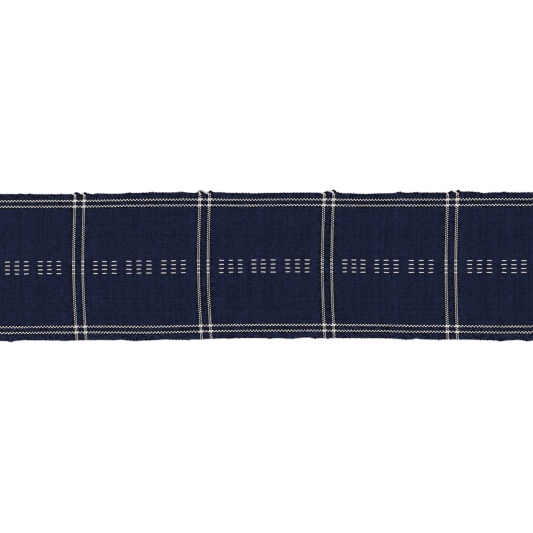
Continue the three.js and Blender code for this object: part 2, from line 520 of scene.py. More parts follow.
# %% [markdown]
# The ground has 56 thousand crossings, far too many to make thread by thread in one light mesh. So it is a
# thin sheet whose upper side has one point on every crossing, high where the warp is on top and lower where
# the weft is. The lower side has half as many points each way. Two grid primitives make the sides. Their open
# rims are picked out as loops and bridged, which closes the sheet. It is lower under each white thread, and
# where a navy one crosses over white.

# %% Ground cloth
UPPER_FLAG = 1.0
WARP_CROWN = 1.08
WEFT_CROWN = 0.95
RIM_HEIGHT = 0.85
UNDERSIDE = 0.15
SINK_UNDER_WHITE = 0.27
SINK_AT_CROSSING = 0.55
SINK_OVER_WHITE = 0.13
CROWN_JITTER = 0.02
SHEET_SEED = 11

pick_stations = np.concatenate(([FIRST_PICK - 0.5], np.arange(FIRST_PICK, LAST_PICK + 1), [LAST_PICK + 0.5]))
end_stations = np.concatenate(([0], np.arange(ENDS) + 0.5, [ENDS]))


def add_side(x_steps, y_steps, upper):
    """One side of the sheet as a flat grid of the whole loom, facing up or down."""
    deselect_all()
    bpy.ops.mesh.primitive_grid_add(
        x_subdivisions=x_steps, y_subdivisions=y_steps, size=2, location=(0, 0, UPPER_FLAG * upper)
    )
    side = bpy.context.object
    bpy.ops.object.transform_apply(location=True, rotation=False, scale=False)
    if not upper:
        bpy.ops.object.mode_set(mode="EDIT")
        bpy.ops.mesh.flip_normals()
        bpy.ops.object.mode_set(mode="OBJECT")
    return side


upper_side = add_side(PICKS + 1, ENDS + 1, True)
lower_side = add_side((PICKS + 1) // 2, (ENDS + 1) // 2, False)
ground = join("ground_cloth", [upper_side, lower_side])
bpy.ops.object.mode_set(mode="EDIT")
bpy.ops.mesh.select_all(action="SELECT")
bpy.ops.mesh.region_to_loop()
bpy.ops.mesh.bridge_edge_loops()
bpy.ops.object.mode_set(mode="OBJECT")
print("the ground cloth has", triangles(ground), "triangles")

# %% Crowns of the ground cloth
jitter = np.random.default_rng(SHEET_SEED).normal(0, CROWN_JITTER, (PICKS + 2, ENDS + 2))


def crossing_height(column, row):
    """How high the upper side stands on a crossing, by its column and row of the grid."""
    pick = column + FIRST_PICK - 1
    end = row - 1
    warp_up = (pick + end) % 2 == 0
    height = np.where(warp_up, WARP_CROWN, WEFT_CROWN) + jitter[column, row]
    white_end = np.isin(end, BORDER_ENDS)
    white_pick = np.isin(pick, WHITE_PICKS)
    height -= SINK_UNDER_WHITE * (white_end & warp_up | white_pick & ~warp_up)
    height -= SINK_OVER_WHITE * (white_pick & warp_up)
    height = np.where(white_end & white_pick, WEFT_CROWN - SINK_AT_CROSSING, height)
    rim = (column == 0) | (column == PICKS + 1) | (row == 0) | (row == ENDS + 1)
    return np.where(rim, RIM_HEIGHT, height)


def shape_ground(x, y, z):
    """Spread the two flat grids over the loom, and raise the upper one to its crossings."""
    upper = z > UPPER_FLAG / 2
    column = np.where(upper, np.rint((x + 1) / 2 * (PICKS + 1)), 0).astype(int)
    row = np.where(upper, np.rint((y + 1) / 2 * (ENDS + 1)), 0).astype(int)
    pick = np.where(upper, pick_stations[column], MIDDLE_PICK + x * PICKS / 2)
    end = np.where(upper, end_stations[row], MIDDLE_END + y * MIDDLE_END)
    height = np.where(upper, crossing_height(column, row), UNDERSIDE)
    return loom_x(pick), loom_y(end), height * MM


edit_points(ground, shape_ground)
print("its thickest crossing stands", round(max(v.co.z for v in ground.data.vertices) / MM, 2), "mm high")

# %% [markdown]
# A square of four crossings isn't flat, so Blender splits it into two triangles along one of its diagonals.
# If the split joins the two low crossings, each high one becomes a bump of its own, as on real cloth. Which
# diagonal that is changes from square to square like a chessboard. So the squares are split here in two
# groups.

# %% Split the squares along the low crossings
def is_low(vertex):
    """Whether the weft is on top at this point of the upper side."""
    pick = round(vertex.co.x / PICK_PITCH + MIDDLE_PICK)
    end = math.floor(vertex.co.y / END_PITCH + MIDDLE_END)
    return (pick + end) % 2 == 1


def split_squares(first_is_low, method):
    """Split the upper squares whose first corner is low, or isn't, by one method."""
    for face in ground.data.polygons:
        first = ground.data.vertices[face.vertices[0]]
        face.select = len(face.vertices) == 4 and face.normal.z > 0.5 and is_low(first) == first_is_low
    bpy.ops.object.mode_set(mode="EDIT")
    bpy.ops.mesh.quads_convert_to_tris(quad_method=method)
    bpy.ops.mesh.select_all(action="DESELECT")
    bpy.ops.object.mode_set(mode="OBJECT")


choose(ground)
bpy.ops.object.mode_set(mode="EDIT")
bpy.ops.mesh.select_mode(type="FACE")
bpy.ops.mesh.select_all(action="DESELECT")
bpy.ops.object.mode_set(mode="OBJECT")
split_squares(True, "FIXED")
split_squares(False, "FIXED_ALTERNATE")
print("the ground cloth now has", len(ground.data.polygons), "faces")

# %% [markdown]
# Colour that is baked for other programs needs a flat map of the piece in which nothing overlaps. Blender can
# find one by itself, but it would tear woven threads into thousands of scraps. Cloth is easy to lay out. The
# upper side is cut into four squares, the lower side into four smaller ones, and the rim is a strip.

# %% Helpers for a flat map
CELL_MARGIN = 0.004


def corner_data(piece):
    """For each corner of each face, its point's place and its face's middle and normal."""
    mesh = piece.data
    point_of = np.empty(len(mesh.loops), int)
    mesh.loops.foreach_get("vertex_index", point_of)
    sizes = np.array([face.loop_total for face in mesh.polygons])
    middles = np.empty(3 * len(mesh.polygons))
    mesh.polygons.foreach_get("center", middles)
    normals = np.empty(3 * len(mesh.polygons))
    mesh.polygons.foreach_get("normal", normals)
    middle = np.repeat(middles.reshape(-1, 3), sizes, axis=0)
    normal = np.repeat(normals.reshape(-1, 3), sizes, axis=0)
    return points_of(mesh)[point_of], middle, normal


def store_map(piece, u, v):
    """Keep a flat map under the name that the export looks for."""
    layer = piece.data.uv_layers.new(name="OFBake")
    layer.data.foreach_set("uv", np.column_stack((u, v)).ravel())


def within(cell, share):
    """A place inside a cell of the map, a little in from its borders."""
    return CELL_MARGIN + share * (cell - 2 * CELL_MARGIN)


point, middle, normal = corner_data(ground)
print("the ground cloth's faces have", len(point), "corners")

# %% Flat map of the ground cloth
SMOOTH_ANGLE = 50
UPPER_CELL = 0.375
LOWER_CELL = 0.25
RIM_STRIP = 0.06

along = point[:, 0] / CUT_LENGTH + 0.5
across = point[:, 1] / NOMINAL_WIDTH + 0.5
quarter = np.clip(np.floor((middle[:, 0] / CUT_LENGTH + 0.5) * 4), 0, 3)
in_quarter = np.clip(along * 4 - quarter, 0, 1)
facing_up = normal[:, 2] > 0.5
facing_down = normal[:, 2] < -0.5
long_rim = np.abs(normal[:, 1]) > np.abs(normal[:, 0])
rim_number = np.where(long_rim, 0, 2) + (np.where(long_rim, middle[:, 1], middle[:, 0]) > 0)
rim_share = np.where(long_rim, along, across)
rim_rise = point[:, 2] / (RIM_HEIGHT * MM)
u = np.where(
    facing_up,
    quarter % 2 * UPPER_CELL + within(UPPER_CELL, in_quarter),
    np.where(facing_down, 2 * UPPER_CELL + within(LOWER_CELL, in_quarter), within(2 * UPPER_CELL, rim_share)),
)
v = np.where(
    facing_up,
    quarter // 2 * UPPER_CELL + within(UPPER_CELL, across),
    np.where(
        facing_down,
        quarter * LOWER_CELL + within(LOWER_CELL, across),
        2 * UPPER_CELL + rim_number * RIM_STRIP + within(RIM_STRIP, np.clip(rim_rise, 0, 1)),
    ),
)
store_map(ground, u, v)
settle(ground, loose=False)
choose(ground)
bpy.ops.object.shade_smooth_by_angle(angle=math.radians(SMOOTH_ANGLE))
print("the map's corners reach from", round(float(u.min()), 3), "to", round(float(u.max()), 3))

# %% [markdown]
# A warp thread of the border is a tube 414 mm long that goes over or under each of the 375 picks. One pick's
# length of tube is made from a cylinder and cut into four, an Array modifier repeats it, and the points are
# then moved to the wave. A real thread isn't equally thick everywhere, so each one swells and thins a little
# as it goes. Where white crosses white both threads are fuller, since nothing dark presses into them.

# %% A straight warp thread
THREAD_SIDES = 6
RINGS_PER_PICK = 4
MERGE_DISTANCE = 1e-6
TAIL = 0.5
BORDER_HALF_WIDTH = 0.30
BORDER_HALF_HEIGHT = 0.24


def repeat_along(piece, step, count, weld=False):
    """Repeat a piece in a row with an Array modifier, and weld each copy to the next if asked."""
    choose(piece)
    row = piece.modifiers.new("row", "ARRAY")
    row.use_relative_offset = False
    row.use_constant_offset = True
    row.constant_offset_displace = step
    row.count = count
    row.use_merge_vertices = weld
    row.merge_threshold = MERGE_DISTANCE
    bpy.ops.object.modifier_apply(modifier=row.name)


def straight_thread(name, half_width, half_height):
    """A closed straight thread along the whole length, at the front selvedge and at height 0."""
    deselect_all()
    bpy.ops.mesh.primitive_cylinder_add(
        vertices=THREAD_SIDES,
        radius=1,
        depth=1,
        end_fill_type="NOTHING",
        location=(loom_x(FIRST_PICK), loom_y(0), 0),
        rotation=(0, math.pi / 2, 0),
        scale=(half_height * MM, half_width * MM, PICK_PITCH),
    )
    thread = bpy.context.object
    thread.name = name
    bpy.ops.object.transform_apply(location=True, rotation=True, scale=True)
    bpy.ops.object.mode_set(mode="EDIT")
    bpy.ops.mesh.select_mode(type="EDGE")
    bpy.ops.mesh.select_all(action="DESELECT")
    bpy.ops.object.mode_set(mode="OBJECT")
    for edge in thread.data.edges:
        ends = [thread.data.vertices[number].co.x for number in edge.vertices]
        edge.select = abs(ends[0] - ends[1]) > PICK_PITCH / 2
    bpy.ops.object.mode_set(mode="EDIT")
    bpy.ops.mesh.subdivide(number_cuts=RINGS_PER_PICK - 1)
    bpy.ops.object.mode_set(mode="OBJECT")
    repeat_along(thread, (PICK_PITCH, 0, 0), PICKS, weld=True)
    bpy.ops.object.mode_set(mode="EDIT")
    bpy.ops.mesh.select_all(action="SELECT")
    bpy.ops.mesh.fill_holes(sides=0)
    bpy.ops.mesh.normals_make_consistent(inside=False)
    bpy.ops.object.mode_set(mode="OBJECT")
    return thread


def copy_of(piece, name):
    """A copy with a mesh of its own."""
    copy = piece.copy()
    copy.data = piece.data.copy()
    copy.name = name
    bpy.context.scene.collection.objects.link(copy)
    return copy


def slow_change(seed, every, amount):
    """A seeded wander along the picks: a new random value every few picks, and even steps between them."""
    values = np.random.default_rng(seed).normal(0, amount, int(PICKS / every) + 3)
    knots = FIRST_PICK - 2 + every * np.arange(len(values))
    return lambda pick: np.interp(pick, knots, values)


border_pattern = straight_thread("border_thread", BORDER_HALF_WIDTH, BORDER_HALF_HEIGHT)
print("one thread has", triangles(border_pattern), "triangles")

# %% Border threads
SWELL = 0.10
SWELL_PICKS = 2.5
SWAY = 0.035
SWAY_PICKS = 6
BULGE = 0.25
CROSSING_SWELL = 0.3
CROSSING_REACH = 1.15
BORDER_SEED = 100
SWAY_SEED = 500
STRIP_FILL = 0.45
BORDER_STRAY = 0.45


def crossing_swell(places, at):
    """How much fuller a white thread is at places along it, given where other white threads cross it."""
    away = np.min(np.abs(np.asarray(at)[:, None] - np.array(places)[None, :]), axis=1)
    return 1 + CROSSING_SWELL * ease(CROSSING_REACH - away)


def weave_border(end, seed):
    """A copy of the straight thread, moved to its place in the warp and given its wave."""
    swell = slow_change(seed, SWELL_PICKS, SWELL)
    sway = slow_change(seed + SWAY_SEED, SWAY_PICKS, SWAY)

    def change(x, y, z):
        pick = x / PICK_PITCH + MIDDLE_PICK
        size = 1 + np.clip(swell(pick), -2 * SWELL, 2 * SWELL)
        size *= crossing_swell(WHITE_PICKS, pick)
        tail = np.clip(np.abs(pick - MIDDLE_PICK) - (PICKS - 1) / 2, 0, 0.5) * np.sign(pick - MIDDLE_PICK)
        wave = warp_wave(pick, end)
        height = (MIDDLE_HEIGHT + WARP_CRIMP * crimp(wave)) * MM
        width = (y - loom_y(0)) * size * (1 + BULGE * wave)
        return x + 2 * TAIL * MM * tail, loom_y(end + 0.5) + width + sway(pick) * MM, height + z * size

    thread = copy_of(border_pattern, f"border_{end}")
    edit_points(thread, change)
    return thread


def lay_out(piece, axis, tracks, stray):
    """Flat map of threads that stray only so far from their tracks: a strip each, above and below apart."""
    point, middle, normal = corner_data(piece)
    track = np.argmin(np.abs(middle[:, 1 - axis, None] - np.array(tracks)[None, :]), axis=1)
    aside = (point[:, 1 - axis] - np.array(tracks)[track]) / stray
    low, high = point[:, axis].min(), point[:, axis].max()
    strip = 0.5 / len(tracks)
    v = strip * (track + 0.5 + STRIP_FILL * np.clip(aside, -1, 1)) + np.where(normal[:, 2] < 0, 0.5, 0)
    store_map(piece, within(1, (point[:, axis] - low) / (high - low)), v)


def finish_threads(name, threads, axis, tracks, stray):
    """Join threads into a piece, lay out its map, settle it and smooth it."""
    piece = join(name, threads)
    lay_out(piece, axis, tracks, stray)
    settle(piece)
    choose(piece)
    bpy.ops.object.shade_smooth()
    print(name, "has", triangles(piece), "triangles")
    return piece


borders = []
for name, ends in (("front_border_yarns", FRONT_BORDER_ENDS), ("back_border_yarns", BACK_BORDER_ENDS)):
    threads = [weave_border(end, seed=BORDER_SEED + end) for end in ends]
    tracks = [loom_y(end + 0.5) for end in ends]
    borders.append(finish_threads(name, threads, 0, tracks, BORDER_STRAY * MM))
bpy.data.objects.remove(border_pattern)

# %% [markdown]
# Four extra white threads lie behind the middle of the cloth. At set places each comes up, floats over three
# picks as a short dash, and goes down again. Where a white band crosses, it comes up over the two white picks
# too. They are the same kind of tube as the border threads, but their height follows a table of such places.
# Hand weaving makes the dashes uneven, so each is a little longer, shorter, further on or more slanted than
# the next.

# %% Float threads
FLOAT_FACE = 1.14
FLOAT_BACK = 0.26
BAND_FACE = 0.86
FLOAT_REACH = 1.5
BAND_REACH = 0.95
FLOAT_SLOPE = 0.45
FLOAT_UNEVEN = 0.1
FLOAT_DRIFT = 0.06
FLOAT_SHIFT = 0.06
FLOAT_SEED = 7
FLOAT_HALF_WIDTH = 0.25
FLOAT_HALF_HEIGHT = 0.24
FLOAT_STRAY = 0.5
FLOAT_MARGIN = 2
PAIR_MIDDLES = (0.5, 6.5)

float_pattern = straight_thread("float_thread", FLOAT_HALF_WIDTH, FLOAT_HALF_HEIGHT)
float_random = random.Random(FLOAT_SEED)


def face_places():
    """Where one extra thread is on the face: the middle pick of each place, its reach, height and drift."""
    places = []
    for repeat in REPEATS:
        for group in FLOAT_GROUPS:
            for column in FLOAT_COLUMNS:
                reach = FLOAT_REACH + float_random.gauss(0, FLOAT_UNEVEN)
                drift = float_random.gauss(0, FLOAT_DRIFT)
                slant = float_random.gauss(0, FLOAT_DRIFT / 2)
                pick = REPEAT_PICKS * repeat + group + column + float_random.gauss(0, FLOAT_SHIFT)
                dash = {"pick": pick, "reach": reach, "face": FLOAT_FACE, "drift": drift, "slant": slant}
                places.append(dash)
        for middle in PAIR_MIDDLES:
            centre = REPEAT_PICKS * repeat + middle
            places.append({"pick": centre, "reach": BAND_REACH, "face": BAND_FACE, "drift": 0, "slant": 0})
    first, last = FIRST_PICK + FLOAT_MARGIN, LAST_PICK - FLOAT_MARGIN
    return [place for place in places if first < place["pick"] < last]


def weave_float(row):
    """A copy of the straight thread that comes up at its places and lies behind the cloth elsewhere."""
    places = face_places()

    def change(x, y, z):
        pick = x / PICK_PITCH + MIDDLE_PICK
        height = np.full_like(x, FLOAT_BACK)
        drift = np.zeros_like(x)
        for place in places:
            away = pick - place["pick"]
            up = ease((place["reach"] + FLOAT_SLOPE / 2 - np.abs(away)) / FLOAT_SLOPE)
            height += (place["face"] - FLOAT_BACK) * up
            drift += (place["drift"] + place["slant"] * away) * up
        return x, loom_y(row) + (y - loom_y(0)) + drift * MM, z + height * MM

    thread = copy_of(float_pattern, f"float_{row}")
    edit_points(thread, change)
    return thread


threads = [weave_float(row) for row in FLOAT_ROWS]
tracks = [loom_y(row) for row in FLOAT_ROWS]
floats = finish_threads("float_yarns", threads, 0, tracks, FLOAT_STRAY * MM)
bpy.data.objects.remove(float_pattern)

# %% [markdown]
# Each white band is one long weft thread. It comes in at the back, crosses to the front and turns, comes back
# as the next pick, is carried along the back selvedge past four navy picks, and does the same again. A thread
# with turns can't be an array, so it is a curve: a line of points with a flattened round bevel, made a mesh
# at the end. The way past the selvedge is different at each band, so each has a table for how its thread
# comes in and one for how it is carried. A row counts picks on from the band's first, ends out from the last,
# and millimetres up from the table.

# %% How the white weft passes the back selvedge
WAY = "pick out height"
BAND_WAYS = {
    0: {
        "comes_in": table(
            WAY,
            (-1.7, 0.2, 0.8),
            (-0.9, -0.4, 1.35),
            (0.2, -1.4, 1.4),
            (0.5, -2.4, 1.2),
            (0, -3.5, 0.85),
        ),
        "is_carried": table(
            WAY,
            (1, -1.0, 0.5),
            (2.8, -0.9, 0.5),
            (4.4, -0.2, 0.8),
            (5.2, -0.4, 1.35),
            (6.2, -1.3, 1.4),
            (6.5, -2.4, 1.2),
            (6, -3.5, 0.85),
        ),
    },
    78: {
        "comes_in": table(
            WAY,
            (-0.9, 0.0, 1.0),
            (0, -0.4, 1.3),
            (0.3, -1.4, 1.2),
            (0, -2.5, 0.85),
        ),
        "is_carried": table(
            WAY,
            (1, -0.2, 0.5),
            (1.1, 0.5, 0.9),
            (1.8, 0.6, 1.3),
            (3.4, -0.1, 1.45),
            (4.9, -0.9, 1.4),
            (5.8, -1.5, 1.25),
            (6, -2.5, 0.85),
        ),
    },
    156: {
        "comes_in": table(
            WAY,
            (-1.3, 0.1, 0.8),
            (-0.6, -0.3, 1.35),
            (0.3, -1.2, 1.35),
            (0.3, -2.0, 1.1),
            (0, -2.5, 0.85),
        ),
        "is_carried": table(
            WAY,
            (1, -0.2, 0.5),
            (2.0, 0.2, 1.0),
            (3.0, 0.6, 1.35),
            (4.2, 0.1, 1.45),
            (5.4, -0.7, 1.4),
            (6.3, -1.5, 1.25),
            (6, -2.5, 0.85),
        ),
    },
    234: {
        "comes_in": table(
            WAY,
            (-0.6, -0.2, 0.8),
            (0.3, -0.8, 1.2),
            (0.2, -1.6, 1.1),
            (0, -2.5, 0.85),
        ),
        "is_carried": table(
            WAY,
            (1, -0.2, 0.5),
            (2.4, 0.1, 1.0),
            (3.4, 0.5, 1.35),
            (4.6, 0.0, 1.45),
            (5.6, -0.7, 1.35),
            (6.1, -1.6, 1.1),
            (6, -2.5, 0.85),
        ),
    },
}
print("the white weft passes the selvedge at", len(BAND_WAYS), "bands")

# %% Paths of the white weft
PLACES_PER_END = 3
TURN_PLACES = 7
TURN_OUT = 0.35
STEPS_PER_ROW = 4
BACK_STOP = 0.9
FRONT_STOP = 0.2


def past_the_selvedge(rows, first):
    """A smooth line through a table of places, counted on from pick first and out from the last end."""
    numbered = [{"row": number, **row} for number, row in enumerate(rows)]
    at = np.linspace(0, len(rows) - 1, STEPS_PER_ROW * (len(rows) - 1) + 1)
    pick, out, height = (smooth_curve(numbered, "row", name)(at) for name in ("pick", "out", "height"))
    return list(zip(first + pick, ENDS + out, height))


def pick_path(pick, start, finish):
    """Points of a weft thread along one pick, from one place across the tape to another."""
    count = int(abs(finish - start) * PLACES_PER_END) + 1
    return [(pick, place, weft_height(pick, place)) for place in np.linspace(start, finish, count)]


def turn_path(pick, edge, outward):
    """Points of a turn round the outermost end, from one pick to the next."""
    angles = [math.pi * (step + 1) / (TURN_PLACES + 1) for step in range(TURN_PLACES)]
    path = []
    for angle in angles:
        at = pick + 0.5 - 0.5 * math.cos(angle)
        place = edge + outward * TURN_OUT / (END_PITCH / MM) * math.sin(angle)
        path.append((at, place, weft_height(at, edge)))
    return path


def band_path(first):
    """The whole way of one band's thread. Both its ends are at the back."""
    back, front = ENDS - BACK_STOP, FRONT_STOP
    ways = BAND_WAYS[first]
    second_pair = first + BAND_PICKS[2]
    path = past_the_selvedge(ways["comes_in"], first)
    path += pick_path(first, ENDS + ways["comes_in"][-1]["out"], front)[1:]
    path += turn_path(first, front, -1)
    path += pick_path(first + 1, front, ENDS + ways["is_carried"][0]["out"])[:-1]
    path += past_the_selvedge(ways["is_carried"], first)
    path += pick_path(second_pair, ENDS + ways["is_carried"][-1]["out"], front)[1:]
    path += turn_path(second_pair, front, -1)
    path += pick_path(second_pair + 1, front, back)
    return path


band_firsts = [REPEAT_PICKS * repeat for repeat in REPEATS if REPEAT_PICKS * repeat in WHITE_PICKS]
print("the first white picks of the bands are", band_firsts)

# %% White weft
WHITE_HALF_WIDTH = 0.29
WHITE_HALF_HEIGHT = 0.22
SECTION_SIDES = 8
LOOSE_SWELL = 0.4
WHITE_STRAY = 1.2


def thread_along(name, path, half_width, half_height):
    """A thread drawn along loom places: a curve with a flattened round section, then made a mesh."""
    deselect_all()
    bpy.ops.curve.primitive_bezier_circle_add(radius=1)
    section = bpy.context.object
    section.data.resolution_u = SECTION_SIDES // 4
    section.scale = (half_width * MM, half_height * MM, 1)
    line = bpy.data.curves.new(name, "CURVE")
    line.dimensions = "3D"
    line.twist_mode = "Z_UP"
    line.bevel_mode = "OBJECT"
    line.bevel_object = section
    line.use_fill_caps = True
    spline = line.splines.new("POLY")
    spline.points.add(len(path) - 1)
    places = np.array([place for pick, place, height in path])
    swells = crossing_swell([end + 0.5 for end in BORDER_ENDS], places)
    swells += LOOSE_SWELL * ease((places - ENDS + 2 * LOOSE_ENDS) / LOOSE_ENDS)
    for point, (pick, place, height), swell in zip(spline.points, path, swells):
        point.co = (loom_x(pick), loom_y(place), height * MM, 1)
        point.radius = swell
    thread = bpy.data.objects.new(name, line)
    bpy.context.scene.collection.objects.link(thread)
    choose(thread)
    bpy.ops.object.convert(target="MESH")
    bpy.ops.object.mode_set(mode="EDIT")
    bpy.ops.mesh.select_all(action="SELECT")
    bpy.ops.mesh.remove_doubles(threshold=MERGE_DISTANCE)
    bpy.ops.mesh.normals_make_consistent(inside=False)
    bpy.ops.object.mode_set(mode="OBJECT")
    bpy.data.objects.remove(section)
    return thread


bands = []
for number, first in enumerate(band_firsts, start=1):
    thread = thread_along(f"white_weft_{number}", band_path(first), WHITE_HALF_WIDTH, WHITE_HALF_HEIGHT)
    tracks = [loom_x(first + pick) for pick in BAND_PICKS]
    bands.append(finish_threads(f"white_weft_{number}", [thread], 1, tracks, WHITE_STRAY * MM))

# %% [markdown]
# At a selvedge the navy weft turns round the last warp thread and goes back as the next pick. One turn is a
# small circle that is extruded a little way, spun half round, and extruded back, which makes a hairpin. Those
# two operators number their new faces in another order each time, so the faces are numbered again, by their
# distance to the 3D cursor, and the mesh is the same in every run. An Array modifier sets a hairpin at every
# second pick, and a copy turned round serves the other selvedge. Where a white thread turns there is no navy
# turn, so those are deleted. At the back the navy thread goes past the white pair in a loop instead, often
# with a second strand inside it.

# %% Navy weft turns
TURN_RADIUS = 0.24
TURN_LEG = 1.1
TURN_SPREAD = 0.75
TURN_STEPS = 6
TURN_SIDES = 6
TURN_INSET = 0.3
TURN_STRAY = 2.2
NUMBERED_FROM = (-0.21, 0.03, 0.013)
TURNS = PICKS // PICKS_PER_TURN


def hairpin(name):
    """One turn round the back selvedge, between the first two picks, open at its two cut ends at first."""
    deselect_all()
    middle_x = loom_x(FIRST_PICK + 0.5)
    edge_y = loom_y(ENDS) - TURN_INSET * MM
    bpy.ops.mesh.primitive_circle_add(
        vertices=TURN_SIDES,
        radius=TURN_RADIUS * MM,
        location=(middle_x - PICK_PITCH / 2, edge_y - TURN_LEG * MM, 0),
        rotation=(math.pi / 2, 0, 0),
    )
    turn = bpy.context.object
    turn.name = name
    bpy.ops.object.transform_apply(location=True, rotation=True, scale=True)
    bpy.ops.object.mode_set(mode="EDIT")
    bpy.ops.mesh.select_all(action="SELECT")
    bpy.ops.mesh.extrude_region_move(TRANSFORM_OT_translate={"value": (0, TURN_LEG * MM, 0)})
    bpy.ops.mesh.spin(steps=TURN_STEPS, angle=math.pi, center=(middle_x, edge_y, 0), axis=(0, 0, 1))
    bpy.ops.mesh.extrude_region_move(TRANSFORM_OT_translate={"value": (0, -TURN_LEG * MM, 0)})
    bpy.ops.mesh.select_all(action="SELECT")
    bpy.ops.mesh.remove_doubles(threshold=MERGE_DISTANCE)
    bpy.ops.mesh.fill_holes(sides=0)
    bpy.ops.mesh.normals_make_consistent(inside=False)
    bpy.context.scene.cursor.location = NUMBERED_FROM
    bpy.ops.mesh.sort_elements(type="CURSOR_DISTANCE", elements={"VERT", "EDGE", "FACE"})
    bpy.context.scene.cursor.location = (0, 0, 0)
    bpy.ops.object.mode_set(mode="OBJECT")
    return turn


back_turns = hairpin("back_turns")
front_turns = copy_of(back_turns, "front_turns")
choose(front_turns)
bpy.ops.object.mode_set(mode="EDIT")
bpy.ops.mesh.select_all(action="SELECT")
bpy.ops.transform.rotate(
    value=math.pi, orient_axis="Z", center_override=(loom_x(FIRST_PICK + 0.5), loom_y(MIDDLE_END), 0)
)
bpy.ops.transform.translate(value=(PICK_PITCH, 0, 0))
bpy.ops.object.mode_set(mode="OBJECT")
for turns in (back_turns, front_turns):
    repeat_along(turns, (PICKS_PER_TURN * PICK_PITCH, 0, 0), TURNS)
print("one hairpin repeated", TURNS, "times has", triangles(back_turns), "triangles")

# %% Leave out the turns where white is carried
BACK_GAPS = (-1, 1, 5, 7)
FRONT_GAPS = (0, 6)
TURN_SEED = 23
TURN_UNEVEN = 0.09
FADE_ENDS = 0.8


def turn_number(x, first):
    """Which hairpin of the row a place along the loom belongs to."""
    return np.floor((x / PICK_PITCH + MIDDLE_PICK - first + 0.5) / PICKS_PER_TURN)


def open_gaps(turns, first, gaps):
    """Delete the hairpins whose first pick is one of the gaps of a repeat."""
    closed = {gap % REPEAT_PICKS for gap in gaps}
    choose(turns)
    bpy.ops.object.mode_set(mode="EDIT")
    bpy.ops.mesh.select_mode(type="VERT")
    bpy.ops.mesh.select_all(action="DESELECT")
    bpy.ops.object.mode_set(mode="OBJECT")
    for vertex in turns.data.vertices:
        pick = first + PICKS_PER_TURN * int(turn_number(vertex.co.x, first))
        vertex.select = pick % REPEAT_PICKS in closed
    bpy.ops.object.mode_set(mode="EDIT")
    bpy.ops.mesh.delete(type="VERT")
    bpy.ops.object.mode_set(mode="OBJECT")


def shape_turns(turns, first, edge, outward, seed):
    """Flatten the hairpins, make them uneven, and lift their legs to the wave of their picks."""
    reach = np.random.default_rng(seed).normal(0, TURN_UNEVEN, TURNS + 1)

    def change(x, y, z):
        pick = x / PICK_PITCH + MIDDLE_PICK
        base = loom_y(edge) - outward * TURN_INSET * MM
        out = (y - base) * outward
        number = np.clip(turn_number(x, first), 0, TURNS).astype(int)
        longer = reach[number] * MM * ease(out / (TURN_INSET * MM))
        pushed = np.where(out > 0, out * TURN_SPREAD + longer, out)
        y = base + outward * pushed
        place = y / END_PITCH + MIDDLE_END
        wave = weft_height(pick, place) - MIDDLE_HEIGHT
        fade = ease((MIDDLE_END - np.abs(place - MIDDLE_END) + FADE_ENDS) / (2 * FADE_ENDS))
        return x, y, z + (MIDDLE_HEIGHT + wave * fade) * MM

    edit_points(turns, change)


open_gaps(back_turns, FIRST_PICK, BACK_GAPS)
open_gaps(front_turns, FIRST_PICK + 1, FRONT_GAPS)
shape_turns(back_turns, FIRST_PICK, ENDS, 1, TURN_SEED)
shape_turns(front_turns, FIRST_PICK + 1, 0, -1, TURN_SEED + 1)
print("turns at the back", triangles(back_turns), "and at the front", triangles(front_turns), "triangles")

# %% Navy threads carried past the white picks
# A loop goes past two white picks, the first of them given by number. Its apex and reach are in picks too.
ARCHES = table(
    "first apex reach out strands",
    (0, 1.9, 2.5, 0.05, 2),
    (6, 7.0, 1.7, 0.1, 2),
    (78, 77.8, 0.9, 0.1, 1),
    (84, 85.1, 1.4, 0.1, 2),
    (156, 157.4, 1.6, 0.2, 2),
    (162, 161.9, 1.9, 0.1, 2),
    (234, 236.5, 1.5, 0.1, 2),
    (240, 240.7, 1.6, 0.1, 2),
)
CARRIED_RADIUS = 0.27
STRAND_STEP = 0.5
FOOT_INSIDE = 2.0
ANKLE_BELOW = 1.1
SHOULDER_BELOW = 0.35
SHOULDER_SHARE = 0.6


def arch_path(arch, inward):
    """A navy thread from the pick before two white ones, out past the selvedge, and in again after them."""
    apex, reach, out = arch["apex"], arch["reach"] - inward, arch["out"] - inward
    before, after = arch["first"] - 1, arch["first"] + 2
    shoulder = SHOULDER_SHARE * reach
    way = table(
        WAY,
        (before, -FOOT_INSIDE, 0.8),
        ((before + apex - reach) / 2, out - ANKLE_BELOW, 1.0),
        (apex - shoulder, out - SHOULDER_BELOW, 1.2),
        (apex, out, 1.3),
        (apex + shoulder, out - SHOULDER_BELOW, 1.2),
        ((after + apex + reach) / 2, out - ANKLE_BELOW, 1.0),
        (after, -FOOT_INSIDE, 0.8),
    )
    return past_the_selvedge(way, 0)


arches = []
for arch in ARCHES:
    for strand in range(arch["strands"]):
        path = arch_path(arch, STRAND_STEP * strand)
        name = f"carried_{arch['first']}_{strand}"
        arches.append(thread_along(name, path, CARRIED_RADIUS, CARRIED_RADIUS))
turn_tracks = [loom_y(0), loom_y(ENDS)]
turns = finish_threads("weft_turns", [back_turns, front_turns] + arches, 0, turn_tracks, TURN_STRAY * MM)

# %% [markdown]
# Scissors cut this length straight across, and cotton that is cut frays by a hair's breadth at once. So each
# of the 149 warp threads ends in a short navy stub just past the cut, and no two stubs are equally long. One
# stub is a small cylinder, an Array modifier sets one on every end of the warp, and each stub's outer ring is
# then moved by its own amount.

# %% Cut ends
STUB_RADIUS = 0.22
STUB_LENGTH = 1.0
STUB_INSIDE = 0.6
STUB_SIDES = 5
STUB_UNEVEN = 0.16
STUB_SLIM = 0.7
STUB_SEED = 41
STUB_STRAY = 1.5


